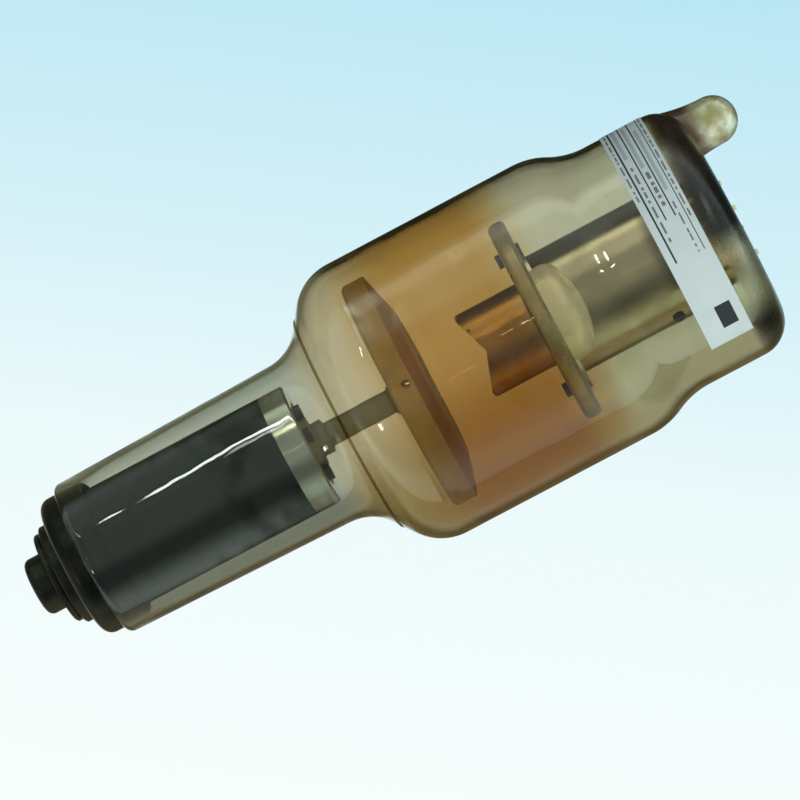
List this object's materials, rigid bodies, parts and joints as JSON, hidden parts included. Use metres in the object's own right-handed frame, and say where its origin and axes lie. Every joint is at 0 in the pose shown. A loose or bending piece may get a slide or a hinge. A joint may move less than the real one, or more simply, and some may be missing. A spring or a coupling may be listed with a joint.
{
  "type": "rotating-anode x-ray tube",
  "caption": "Glass vacuum x-ray tube with a motor rotor that spins a bevelled target disc on ball bearings, opposite a focus cup with coiled filaments.",
  "frame": {"origin": "centre of the anode end face, at the mouth of the tapped mounting hole", "axes": "+X along the tube from the anode end to the cathode end, +Y towards the sealed exhaust tip, +Z towards the side on which the filaments sit"},
  "size_m": [0.2524, 0.0906, 0.0906],
  "materials": {
    "dark_steel": "dark oxidised",
    "seal_alloy": "satin, slightly tarnished",
    "housing_steel": "turned",
    "spring_steel": "polished",
    "bearing_steel": "ground and polished",
    "blackened_copper": "semi-gloss dark green-black coating",
    "bright_steel": "satin to polished",
    "molybdenum": "dull grey-brown",
    "tungsten_track": "ground, used track",
    "cup_nickel": "polished, with a thin brown deposit",
    "insulator_ceramic": "matte",
    "tungsten_wire": "drawn wire",
    "lead_nickel": "drawn wire",
    "stem_glass": "clear, pressed",
    "neck_glass": "clear, blown, greenish",
    "bulb_glass": "clear, blown, amber metal deposit inside",
    "paper_label": "matte"
  },
  "bodies": {
    "tube": {"mount_knob": "dark_steel", "clamp_nut": "dark_steel", "seal_ring": "seal_alloy", "anode_plug": "seal_alloy", "bearing_housing": "housing_steel", "preload_spring": "spring_steel", "rear_race": "bearing_steel", "race_spacer": "housing_steel", "front_race": "bearing_steel", "retaining_ring": "housing_steel", "focus_cup": "cup_nickel", "filament_insulators": "insulator_ceramic", "large_filament": "tungsten_wire", "small_filament": "tungsten_wire", "cathode_flange": "cup_nickel", "flange_screws": "dark_steel", "lead_cover": "bright_steel", "cathode_sleeve": "bright_steel", "sleeve_screws": "dark_steel", "support_collar": "housing_steel", "lead_wires": "lead_nickel", "stem_glass": "stem_glass", "lead_pins": "lead_nickel", "neck_glass": "neck_glass", "bulb_glass": "bulb_glass", "exhaust_tip": "neck_glass", "label": "paper_label"},
    "rotor": {"bearing_shaft": "bearing_steel", "rotor_core": "housing_steel", "rotor_sleeve": "blackened_copper", "rotor_hub": "bright_steel", "rotor_screws": "dark_steel", "anode_stem": "molybdenum", "target_disc": "molybdenum", "focal_track": "tungsten_track", "target_nut": "molybdenum"},
    "rear_ball_set": {"rear_balls": "bearing_steel"},
    "front_ball_set": {"front_balls": "bearing_steel"}
  },
  "joints": [
    {"name": "rotor_spin", "type": "hinge", "parent": "tube", "child": "rotor", "pos_m": [0, 0, 0], "axis": [1, 0, 0], "continuous": true},
    {"name": "rear_balls_spin", "type": "hinge", "parent": "tube", "child": "rear_ball_set", "pos_m": [0, 0, 0], "axis": [1, 0, 0], "continuous": true},
    {"name": "front_balls_spin", "type": "hinge", "parent": "tube", "child": "front_ball_set", "pos_m": [0, 0, 0], "axis": [1, 0, 0], "continuous": true}
  ],
  "couplings": [
    {"joint": "rear_balls_spin", "follows": "rotor_spin", "ratio": 0.32754},
    {"joint": "front_balls_spin", "follows": "rotor_spin", "ratio": 0.32754}
  ]
}
